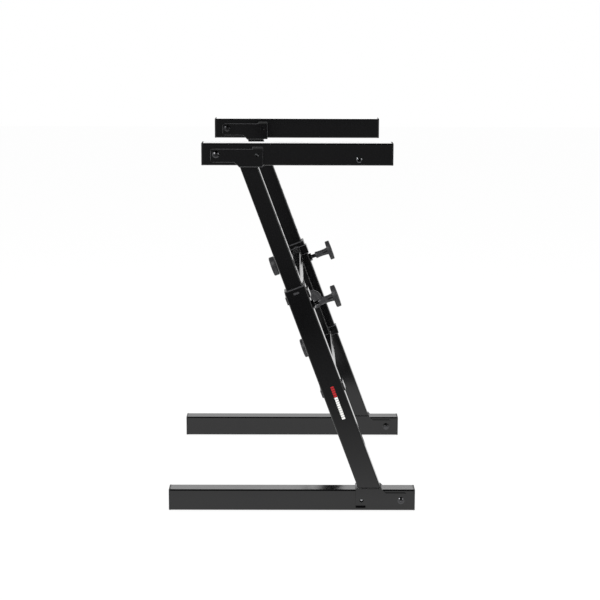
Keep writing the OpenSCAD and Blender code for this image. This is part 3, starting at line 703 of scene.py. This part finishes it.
def hexagon(flats, thickness, bottom, bore):
    """A nut along +Z with its corners turned off and a round bore."""
    radius = flats / 2 / math.cos(math.pi / 6)
    nut = bmesh.new()
    bmesh.ops.create_cone(nut, cap_ends=True, segments=6, radius1=radius, radius2=radius,
                          depth=thickness)
    level = [e for e in nut.edges if abs(e.verts[0].co.z - e.verts[1].co.z) < 0.1 * MM]
    bevelled(nut, level, nut_bevel, 2)
    mouths = []
    for face in [f for f in nut.faces if abs(f.calc_center_median().z) > 0.499 * thickness]:
        height = face.calc_center_median().z
        outline = list(face.edges)
        bmesh.ops.delete(nut, geom=[face], context="FACES_ONLY")
        ring = bmesh.ops.create_circle(nut, cap_ends=False, segments=24, radius=bore)["verts"]
        bmesh.ops.translate(nut, vec=(0, 0, height), verts=ring)
        mouth = list(dict.fromkeys(e for v in ring for e in v.link_edges))
        bmesh.ops.bridge_loops(nut, edges=outline + mouth)
        mouths += mouth
    bmesh.ops.bridge_loops(nut, edges=mouths)
    bmesh.ops.translate(nut, vec=(0, 0, bottom + thickness / 2), verts=nut.verts)
    bmesh.ops.recalc_face_normals(nut, faces=nut.faces)
    return nut


# %% Pin barrels
barrel_bore, barrel_start = 3.7 * MM, 18.3 * MM
barrel_cap, rod_hole, barrel_chamfer = 1.5 * MM, 2.08 * MM, 0.5 * MM


def merge(bm, part):
    """Adds a part to a bmesh and frees it."""
    mesh = bpy.data.meshes.new("part")
    part.to_mesh(mesh)
    part.free()
    bm.from_mesh(mesh)
    bpy.data.meshes.remove(mesh)


def pin_barrel():
    """The barrel and its nut along +Z, from the column's centre line."""
    bm = bmesh.new()
    end = sleeve_face + barrel_length
    profile = ([(barrel_bore, end - barrel_cap), (barrel_bore, barrel_start),
                (barrel_radius, barrel_start)]
               + thread(barrel_radius, sleeve_face + nut_thickness + barrel_chamfer,
                        end - barrel_chamfer)
               + [(barrel_radius - barrel_chamfer, end), (rod_hole, end),
                  (rod_hole, end - barrel_cap), (barrel_bore, end - barrel_cap)])
    spun(bm, profile, 40)
    merge(bm, hexagon(nut_flats, nut_thickness, sleeve_face, (barrel_bore + barrel_radius) / 2))
    put(bm, on_column(0, 0, pin_height), back)
    return bm


both_sides("threaded_barrel", pin_barrel, zinc, "frame", "pin_barrel")

# %% [markdown]
# ## Pivot bolts
#
# Each arm and each base turns on an M8 screw with a low domed head and a cross recess, held by a
# washer and a lock nut: a hexagon with a rounded collar that grips a nylon ring. Head, shank and
# thread are one profile spun round the axis. The recess is cut the way a punch makes it: four
# pairs of planes slice the dome, and the faces inside the cross are pushed down in one piece.

# %% Cross recess
def cross_recess(bm, top, depth, half_width, half_length):
    """Pushes a cross down into the dome whose top is at that height."""
    low = top - 2 * depth
    for axis in (Vector((1, 0, 0)), Vector((0, 1, 0))):
        for reach in (-half_length, -half_width, half_width, half_length):
            dome = [f for f in bm.faces if f.calc_center_median().z > low]
            around = dict.fromkeys(part for f in dome for part in (*f.edges, *f.verts))
            bmesh.ops.bisect_plane(bm, geom=dome + list(around), plane_co=axis * reach,
                                   plane_no=axis)
    inside = []
    for f in bm.faces:
        middle = f.calc_center_median()
        short, long = sorted((abs(middle.x), abs(middle.y)))
        if middle.z > low and short < half_width and long < half_length:
            inside.append(f)
    for vert in bmesh.ops.extrude_face_region(bm, geom=inside)["geom"]:
        if isinstance(vert, bmesh.types.BMVert):
            vert.co.z = top - depth


# %% Pivot bolts
plate_face = 21.8 * MM
bolt_radius, bolt_end, bolt_bevel = 4 * MM, 2 * MM, 0.6 * MM
head_radius, head_height, head_rim, head_bevel = 7.25 * MM, 4 * MM, 0.9 * MM, 0.2 * MM
recess_depth, recess_half_width, recess_half_length = 2.2 * MM, 1.15 * MM, 3.7 * MM
washer_hole, washer_radius, washer_height, washer_bevel = 4.2 * MM, 8 * MM, 1.5 * MM, 0.3 * MM
lock_nut_flats, lock_nut_height, lock_nut_collar = 13 * MM, 7 * MM, 2.2 * MM
collar_radius, collar_round = 6.1 * MM, 1.4 * MM


def pivot_bolt(pivot):
    """A bolt through a pivot, its head on the near side, with the washer and nut behind."""
    bm = bmesh.new()
    dome = head_height - head_rim
    dome_radius = (head_radius ** 2 + dome ** 2) / (2 * dome)
    rim_angle = math.degrees(math.acos(head_radius / dome_radius))
    top = plate_face + head_height
    washer_face = -plate_face - washer_height
    nut_end = washer_face - lock_nut_height
    shank_end = nut_end - bolt_end
    spun(bm, [(0, shank_end), (bolt_radius - bolt_bevel, shank_end)]
         + thread(bolt_radius, shank_end + bolt_bevel, -plate_face)
         + [(bolt_radius, plate_face), (head_radius - head_bevel, plate_face),
            (head_radius, plate_face + head_bevel)]
         + arc(dome_radius, (0, top - dome_radius), rim_angle, 90, 7), 48)
    cross_recess(bm, top, recess_depth, recess_half_width, recess_half_length)
    spun(bm, [(washer_hole, washer_face), (washer_radius - washer_bevel, washer_face),
              (washer_radius, washer_face + washer_bevel), (washer_radius, -plate_face),
              (washer_hole, -plate_face), (washer_hole, washer_face)], 48)
    collar_end = nut_end + lock_nut_collar
    merge(bm, hexagon(lock_nut_flats, lock_nut_height - lock_nut_collar, collar_end,
                      bolt_radius - 0.2 * MM))
    spun(bm, [(bolt_radius, collar_end), (bolt_radius, nut_end)]
         + arc(collar_round, (collar_radius - collar_round, nut_end + collar_round), -90, 0, 4)
         + [(collar_radius, collar_end), (bolt_radius, collar_end)], 48)
    put(bm, pivot, near_out)
    return bm


for tube, pivot, body in (("arm", arm_pivot, "upper_column"), ("base", base_pivot, "frame")):
    both_sides(f"{tube}_cross_head_bolt", lambda: pivot_bolt(pivot), zinc, body,
               f"{tube}_pivot", sharp=30)

# %% [markdown]
# ## Lock buttons and inserts
#
# A spring button in each tube snaps into a hole of the bracket when the stand is unfolded. Its
# domed end shows at the bottom of that hole. Near the back of each arm, low on the outer face, a
# threaded insert takes the bracket of a second tier: a thin round flange on a barrel that was
# squeezed behind the wall. Both are spun, the insert as a closed ring with thread inside.

# %% Buttons and inserts
lock_reach = 82.5 * MM
button_radius, button_length, button_face = 4 * MM, 8 * MM, 18.92 * MM
button_collar, button_collar_height, button_dome = 5 * MM, 1.2 * MM, 8 * MM
arm_length, pivot_inset = 388 * MM, 29.5 * MM
insert_inset, insert_drop = 69 * MM, 11 * MM
insert_bore, insert_barrel, insert_flange = 3 * MM, 4.2 * MM, 5.5 * MM
insert_depth, insert_lead, countersink = 12 * MM, 0.5 * MM, 0.8 * MM
tube_face, flange_height = 19 * MM, 0.6 * MM


def lock_button(pivot, way):
    """A button on the near side, in front of a pivot (-1) or behind it (1)."""
    bm = bmesh.new()
    inner = button_face - button_length
    dome_edge = math.degrees(math.acos(button_radius / button_dome))
    spun(bm, [(0, inner), (button_collar, inner), (button_collar, inner + button_collar_height),
              (button_radius, inner + button_collar_height)]
         + arc(button_dome, (0, button_face - button_dome), dome_edge, 90, 6), 32)
    put(bm, pivot + along_floor * way * lock_reach, near_out)
    return bm


def arm_insert():
    """The near arm's threaded insert."""
    bm = bmesh.new()
    start, end = tube_face - insert_depth, tube_face + flange_height
    rings = thread(insert_bore, start + insert_lead, tube_face - countersink)
    bore = [(r + thread_depth, z) for r, z in reversed(rings)]
    spun(bm, [(insert_barrel, start), (insert_barrel, tube_face), (insert_flange, tube_face),
              (insert_flange - 0.15 * MM, end - 0.3 * MM),
              (insert_flange - 0.6 * MM, end - 0.05 * MM), (insert_flange - 1.1 * MM, end),
              (insert_flange - 1.4 * MM, end - 0.05 * MM)]
         + bore + [(insert_barrel, start)], 32)
    behind_pivot = arm_length - pivot_inset - insert_inset
    put(bm, arm_pivot + Vector((behind_pivot, 0, -insert_drop)), near_out)
    return bm


for tube, pivot, way in (("arm", arm_pivot, 1), ("base", base_pivot, -1)):
    both_sides(f"{tube}_domed_button", lambda: lock_button(pivot, way), spring_steel,
               f"{tube}_lock", f"{tube}_button")
both_sides("arm_rivet_nut", arm_insert, spring_steel, "top_arm", "arm_insert", sharp=30)

# %% [markdown]
# ## Springs
#
# A coil spring in its barrel pushes each pull pin in, and a leaf spring bent into a V pushes each
# lock button out. Both flex on the real stand; here they are still shapes that move with no body.
# The coil is swept along a helix between the ends of the CAD node, and the leaf is that node with
# its edges broken. A curve is turned into a mesh at once, because a finished piece should hold its
# own shape.

# %% Sweep round wires along paths
wire_crease = 60


def swept(radius, paths):
    """A bmesh of wires: each path is its points, how much each swells, and whether it closes."""
    curve = bpy.data.curves.new("wires", "CURVE")
    curve.dimensions = "3D"
    curve.bevel_depth = radius
    curve.bevel_resolution = 2
    curve.use_fill_caps = True
    for points, swells, closed in paths:
        spline = curve.splines.new("POLY")
        spline.points.add(len(points) - 1)
        spline.use_cyclic_u = closed
        for control, point, swell in zip(spline.points, points, swells):
            control.co = (*point, 1)
            control.radius = swell
    wires = bpy.data.objects.new("wires", curve)
    bm = bmesh.new()
    bm.from_mesh(wires.to_mesh())
    wires.to_mesh_clear()
    bpy.data.objects.remove(wires)
    bmesh.ops.recalc_face_normals(bm, faces=bm.faces)
    return bm


# %% Springs
coil_turns, coil_steps = 7, 24
wire_share = 0.45
leaf_edge = 0.15 * MM


def coil(start, end, radius, wire):
    """A coil spring from one point to another."""
    along = (end - start).normalized()
    side = along.orthogonal().normalized()
    other = along.cross(side)
    count = coil_turns * coil_steps
    points = []
    for i in range(count + 1):
        angle = math.tau * i / coil_steps
        rise = wire + ((end - start).length - 2 * wire) * i / count
        outwards = side * math.cos(angle) + other * math.sin(angle)
        points.append(start + along * rise + outwards * radius)
    return swept(wire, [(points, [1] * len(points), False)])


for side in sides:
    node = f"{side}_pin_spring"
    points = [v.co.copy() for v in frame["nodes"][node].data.vertices]
    middle = sum(points, Vector()) / len(points)
    reaches = [(p - middle).dot(back) for p in points]
    radii = [(p - middle - back * reach).length for p, reach in zip(points, reaches)]
    inner, outer = min(radii), max(radii)
    pin_end, cap_end = middle + back * min(reaches), middle + back * max(reaches)
    spring = coil(pin_end, cap_end, (inner + outer) / 2, wire_share * (outer - inner))
    piece = place(f"{side}_pin_coil_spring", spring, spring_steel, None, [node], sharp=wire_crease)
    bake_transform(piece)
    for tube, carrier in (("arm", "top_arm"), ("base", "bottom_base")):
        node = f"{side}_{tube}_leaf"
        piece = place(f"{side}_{tube}_leaf_spring", softened(node, leaf_edge), spring_steel, None,
                      [node])
        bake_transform(piece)

# %% [markdown]
# ## Weld nuts and studs
#
# The round knobs turn threaded studs through nuts that are welded to the tubes. They show from
# the side and when the stand is turned round.

# %% Nuts and studs of the round knobs
weld_nut_flats, weld_nut_height, weld_nut_bore = 14 * MM, 6 * MM, 4.15 * MM
stud_end, stud_bevel = nut_height + 16 * MM, 0.5 * MM
nuts = bmesh.new()
for clamp, depth in clamps:
    seat, direction = seat_of(clamp + "_clamp")
    nut = hexagon(weld_nut_flats, weld_nut_height, 0, weld_nut_bore)
    put(nut, seat, direction)
    merge(nuts, nut)
    stud = bmesh.new()
    spun(stud, [(0, -depth), (bolt_radius - stud_bevel, -depth)]
         + thread(bolt_radius, stud_bevel - depth, stud_end - stud_bevel)
         + [(bolt_radius - stud_bevel, stud_end), (0, stud_end)], 32)
    put(stud, seat, direction)
    place(f"threaded_{clamp}_stud", stud, zinc, clamp + "_clamp", [clamp + "_stud"])
place("weld_nuts", nuts, zinc, "near_frame", ["knob_nuts"])
print("made three studs in weld nuts")

# %% [markdown]
# ## Weld beads
#
# Weld joins each column to its bracket, each saddle to its sleeve and each crossbar to its
# saddle. A hand-laid bead is a row of overlapping ripples about 3 mm apart, so it is drawn as a
# wire that runs round the joint and swells and shrinks on its way.

# %% Sweep a bead
ripple_pitch = 3 * MM
bead_radius = 1.7 * MM
corner_cut = 1.6 * MM


def lay_beads(name, paths, body, reflect=False):
    """Makes a piece of several beads: each path is a list of corners and whether it closes."""
    wires = []
    for corners, closed in paths:
        points = []
        for start, end in zip(corners, corners[1:] + corners[:closed]):
            steps = max(2, round((end - start).length / (ripple_pitch / 4)))
            points += [start.lerp(end, i / steps) for i in range(steps)]
        if not closed:
            points.append(corners[-1])
        swells = [1 + 0.16 * math.sin(i * math.pi / 2) + 0.06 * math.sin(i * 0.37)
                  for i in range(len(points))]
        wires.append((points, swells, closed))
    place(name, swept(bead_radius, wires), coat, body, sharp=wire_crease, reflect=reflect)


def loop(middle, u, v, half_u, half_v):
    """A closed path of four corners with a short slant across each."""
    corners = []
    for su, sv in ((1, 1), (-1, 1), (-1, -1), (1, -1)):
        near_u = middle + u * (su * (half_u - corner_cut)) + v * (sv * half_v)
        near_v = middle + u * (su * half_u) + v * (sv * (half_v - corner_cut))
        corners += [near_v, near_u] if su * sv > 0 else [near_u, near_v]
    return corners, True


# %% [markdown]
# Each bead sits in the corner between two surfaces, so its path runs along that corner and half
# of its round section is buried. The columns are cut level with the floor, so the loops at their
# ends are longer from front to back than the tubes are deep, by the cosine of the lean.

# %% Lay the beads of the side frames
upright_depth, upright_width = 35 * MM, 28 * MM
saddle_thickness = 3 * MM
saddle_bead_half = 7.25 * MM
saddle_bare = 7 * MM
upper_bar = sleeve_length - 19 * MM
lower_bar = upper_bar - 209 * MM
bars = (upper_bar, lower_bar)
sink = 0.5 * MM


def column_loop(z, depth, width):
    """A loop round the near column's tube where it passes a level."""
    middle = foot + up * ((z - foot.z) / up.z)
    return loop(middle, along_floor, across, depth / 2 / math.cos(lean), width / 2)


saddle_end = saddle_bare - sleeve_width / 2 - sink
saddle_paths = [([on_column(x, saddle_end, s - saddle_bead_half),
                  on_column(x, saddle_end, s + saddle_bead_half)], False)
                for s in bars for x in (-sleeve_face - sink, sleeve_face + sink)]
foot_loop = column_loop(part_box("near_foot_bracket")[1].z, sleeve_depth, sleeve_width)
head_loop = column_loop(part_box("near_arm_bracket")[0].z, upright_depth, upright_width)
for side in sides:
    for joint, paths, body in (("foot", [foot_loop], "frame"), ("saddle", saddle_paths, "frame"),
                               ("head", [head_loop], "upper_column")):
        lay_beads(f"{side}_{joint}_weld", paths, f"{side}_{body}", side == "far")
print("laid the beads of both side frames")

# %% [markdown]
# The crossbars' outer tubes are welded to the near saddles, and the thinner sliders to the far
# ones. The brace and the yoke are welded between the two outer tubes.

# %% Lay the crossbars' beads
bar_half, slider_half = 10 * MM, 7 * MM
yoke_half_depth, yoke_half_width = 8 * MM, 10 * MM
saddle_face = sleeve_width / 2 + saddle_thickness
brace_y = saddle_face + 190 * MM
yoke_y = saddle_face + 506 * MM - yoke_half_width


def bar_beads(half):
    """Loops round both bars where they meet the saddles' faces."""
    return [loop(on_column(0, saddle_face, s), back, up, half, half) for s in bars]


def strut_beads(half_depth, half_width, y):
    """Loops round both ends of a strut between the bars."""
    ends = (lower_bar + bar_half, upper_bar - bar_half)
    return [loop(on_column(0, y, s), back, across, half_depth, half_width) for s in ends]


crossbar_paths = (bar_beads(bar_half) + strut_beads(bar_half, bar_half, brace_y)
                  + strut_beads(yoke_half_depth, yoke_half_width, yoke_y))
lay_beads("crossbar_weld", crossbar_paths, "near_frame")
lay_beads("slider_weld", bar_beads(slider_half), "far_frame", True)
print("laid the crossbars' beads")

# %% [markdown]
# ## The studio
#
# A black object on white is lit by what it reflects. The world and the floor are white to the
# camera and to every glossy ray, so faces that look down at the nearby floor turn a soft grey.
# The rest of a real studio is dark, so black cloths hang at its ceiling, its walls and behind
# the camera. They are seen in reflections alone, cast no shadow and let light through, and they
# keep the columns and the arms from looking grey all over.

# %% White surroundings
white = linear("#ffffff")


def white_to_the_eye(tree, surface, plain, share):
    """Mixes a plain white over a surface for camera, glossy and transmission rays."""
    path = add(tree, "ShaderNodeLightPath").outputs
    seen = path["Is Camera Ray"]
    for ray in ("Is Glossy Ray", "Is Transmission Ray"):
        seen = add(tree, "ShaderNodeMath", {0: seen, 1: path[ray]}, operation="MAXIMUM").outputs[0]
    part = add(tree, "ShaderNodeMath", {0: seen, 1: share}, operation="MULTIPLY").outputs[0]
    return add(tree, "ShaderNodeMixShader", {0: part, 1: surface, 2: plain}).outputs[0]


world = bpy.data.worlds.new("white_studio")
bpy.context.scene.world = world
world.use_nodes = True
tree = world.node_tree
tree.nodes.clear()
fill, plain = (add(tree, "ShaderNodeBackground", {"Color": white, "Strength": strength}).outputs[0]
               for strength in (0.55, 1.0))
add(tree, "ShaderNodeOutputWorld", {"Surface": white_to_the_eye(tree, fill, plain, 1.0)})
print("made the world", world.name)


# %% Sheets for the floor, the cloths and the light panel
def sheet(name, corner, along, up_side, material):
    """A flat rectangle that runs from a corner along two sides, in metres."""
    bm = bmesh.new()
    bmesh.ops.create_grid(bm, x_segments=1, y_segments=1, size=0.5)
    bmesh.ops.translate(bm, vec=(0.5, 0.5, 0), verts=bm.verts)
    along, up_side = Vector(along), Vector(up_side)
    turn = Matrix((along, up_side, along.cross(up_side).normalized())).transposed().to_4x4()
    bmesh.ops.transform(bm, matrix=Matrix.Translation(Vector(corner)) @ turn, verts=bm.verts)
    mesh = finish_mesh(bm, name)
    mesh.materials.append(material)
    made = linked(name, mesh)
    return made


def in_reflections_only(made):
    """Hides a sheet from the camera and from the light that it would block."""
    made.visible_camera = False
    made.visible_diffuse = False
    made.visible_shadow = False


material, tree = new_material("white_studio_floor")
paint = add(tree, "ShaderNodeBsdfDiffuse", {"Color": linear("#f2f2f2")}).outputs[0]
glow = add(tree, "ShaderNodeEmission", {"Color": white, "Strength": 1.04}).outputs[0]
add(tree, "ShaderNodeOutputMaterial", {"Surface": white_to_the_eye(tree, paint, glow, 0.9)})
sheet("studio_floor", (-9, -9, 0), (18, 0, 0), (0, 18, 0), material)
print("laid the floor")

# %% [markdown]
# The cloth on the floor in front matters most, because every upright face mirrors it: the lower
# a point is on the stand, the nearer is the stretch of floor that it reflects. So the cloth
# starts thin near the stand and gets denser further out, by a colour ramp along one axis. The
# other cloths use the same recipe with their own ramps. A light panel hangs in front of the rear
# cloth, where the arms' tops mirror it.

# %% Black cloths and the light panel, for reflections alone
def black_cloth(name, axis, start, end, covers, corner, along, up_side):
    """A cloth whose cover follows pairs of share and cover, between two places on an axis."""
    material, tree = new_material(name)
    place_on = add(tree, "ShaderNodeTexCoord").outputs["Object"]
    where = add(tree, "ShaderNodeSeparateXYZ", {0: place_on}).outputs[axis]
    run = add(tree, "ShaderNodeMapRange", {"Value": where, "From Min": start, "From Max": end})
    dense = add(tree, "ShaderNodeValToRGB", {"Fac": run.outputs["Result"]})
    stops = dense.color_ramp.elements
    while len(stops) < len(covers):
        stops.new(0.5)
    for stop, (share, cover) in zip(stops, covers):
        stop.position = share
        stop.color = (cover, cover, cover, 1)
    velvet = add(tree, "ShaderNodeBsdfDiffuse", {"Color": linear("#000000")}).outputs[0]
    clear = add(tree, "ShaderNodeBsdfTransparent").outputs[0]
    mix = add(tree, "ShaderNodeMixShader", {0: dense.outputs["Color"], 1: clear, 2: velvet})
    add(tree, "ShaderNodeOutputMaterial", {"Surface": mix.outputs[0]})
    in_reflections_only(sheet(name, corner, along, up_side, material))


front, rear, half_room, ceiling, right = -8.6, 2.2, 4.0, 3.6, 3.0
floor_start, floor_side, rear_low, right_low = -0.4, 0.6, 1.2, 0.3
panel_low, panel_height = 0.84, 0.24
width, depth = (2 * half_room, 0, 0), (0, rear - front, 0)
fading_in = ((0, 0), (1, 1))
floor_covers = ((0, 0), (0.04, 0.32), (0.075, 0.53), (0.11, 0.78), (0.18, 0.84), (0.23, 0.95),
                (0.27, 0.98), (0.33, 0.92), (0.42, 0.87), (1, 0.82))
black_cloth("front_floor_cloth", "Y", floor_start, front, floor_covers,
            (-half_room, front, 1 * MM), width, (0, floor_start - front, 0))
black_cloth("front_wall_cloth", "Z", 0, ceiling, ((0, 0.85), (1, 1)),
            (-half_room, front, 0), width, (0, 0, ceiling))
black_cloth("ceiling_cloth", "Z", 0, ceiling, ((0, 1), (1, 1)),
            (-half_room, front, ceiling), width, depth)
black_cloth("rear_wall_cloth", "Z", rear_low, 1.6, fading_in,
            (-half_room, rear, rear_low), width, (0, 0, ceiling - rear_low))
black_cloth("right_wall_cloth", "Z", right_low, 0.9, fading_in,
            (right, front, right_low), depth, (0, 0, ceiling - right_low))
black_cloth("right_floor_cloth", "X", floor_side, 1.2, fading_in,
            (floor_side, front, 2 * MM), (right - floor_side, 0, 0), depth)

material, tree = new_material("rear_light_panel")
glow = add(tree, "ShaderNodeEmission", {"Color": white, "Strength": 1.8}).outputs[0]
add(tree, "ShaderNodeOutputMaterial", {"Surface": glow})
in_reflections_only(sheet("rear_light_panel", (-half_room, rear - 1 * MM, panel_low), width,
                          (0, 0, panel_height), material))
print("hung six black cloths and the light panel")

# %% [markdown]
# Two large soft boxes give the plastic its shape: a key from the upper left and a weaker fill
# from the right, with a third one overhead for the tops. The one overhead isn't mirrored, so the
# rounded corners of the tubes stay dark under their pale tops, as they are in the photograph.

# %% Soft boxes
stand_middle = Vector((0, 0, 0.38))


def soft_box(name, position, size, watts):
    """A square area lamp that points at the stand."""
    lamp = bpy.data.lights.new(name, "AREA")
    lamp.shape = "SQUARE"
    lamp.size = size
    lamp.energy = watts
    holder = linked(name, lamp)
    holder.location = position
    aim = stand_middle - Vector(position)
    holder.rotation_euler = aim.to_track_quat("-Z", "Y").to_euler()
    return holder


soft_box("key_box", (-1.9, -2.3, 2.3), 1.4, 55)
soft_box("fill_box", (2.3, -1.9, 1.5), 1.6, 22)
soft_box("top_box", (0.2, 0.3, 2.9), 1.8, 30).visible_glossy = False
print("hung three soft boxes")

# %% [markdown]
# ## The camera
#
# The photograph was taken from the stand's left, about 3.8 m away and a little above the arms,
# with a long lens. The figures come from matching the tubes' corners: how much the far frame
# shrinks gives the distance, and the slope of the arms against the bases gives the height.

# %% Camera
picture = 600
focal_pixels = 1709
sensor = 36
camera_data = bpy.data.cameras.new("portrait_camera")
camera_data.sensor_width = sensor
camera_data.lens = focal_pixels * sensor / picture
camera_data.clip_end = 40
camera = linked("portrait_camera", camera_data)
pitch, roll, yaw = (math.radians(a) for a in (10.739, 0.151, -0.219))
turn = (Matrix.Rotation(yaw, 4, "Z") @ Matrix.Rotation(math.pi / 2 - pitch, 4, "X")
        @ Matrix.Rotation(roll, 4, "Z"))
camera.matrix_world = Matrix.Translation((2.8 * MM, -3760.5 * MM, 1104.5 * MM)) @ turn
bpy.context.scene.camera = camera
bpy.context.scene.view_settings.view_transform = "Standard"
print("lens", round(camera_data.lens, 1), "mm, camera at", [round(v, 3) for v in camera.location])

# %% [markdown]
# ## Pieces made
#
# The script ends by printing how many pieces it made.

# %% Count the pieces
print("pieces made:", len(made_pieces))
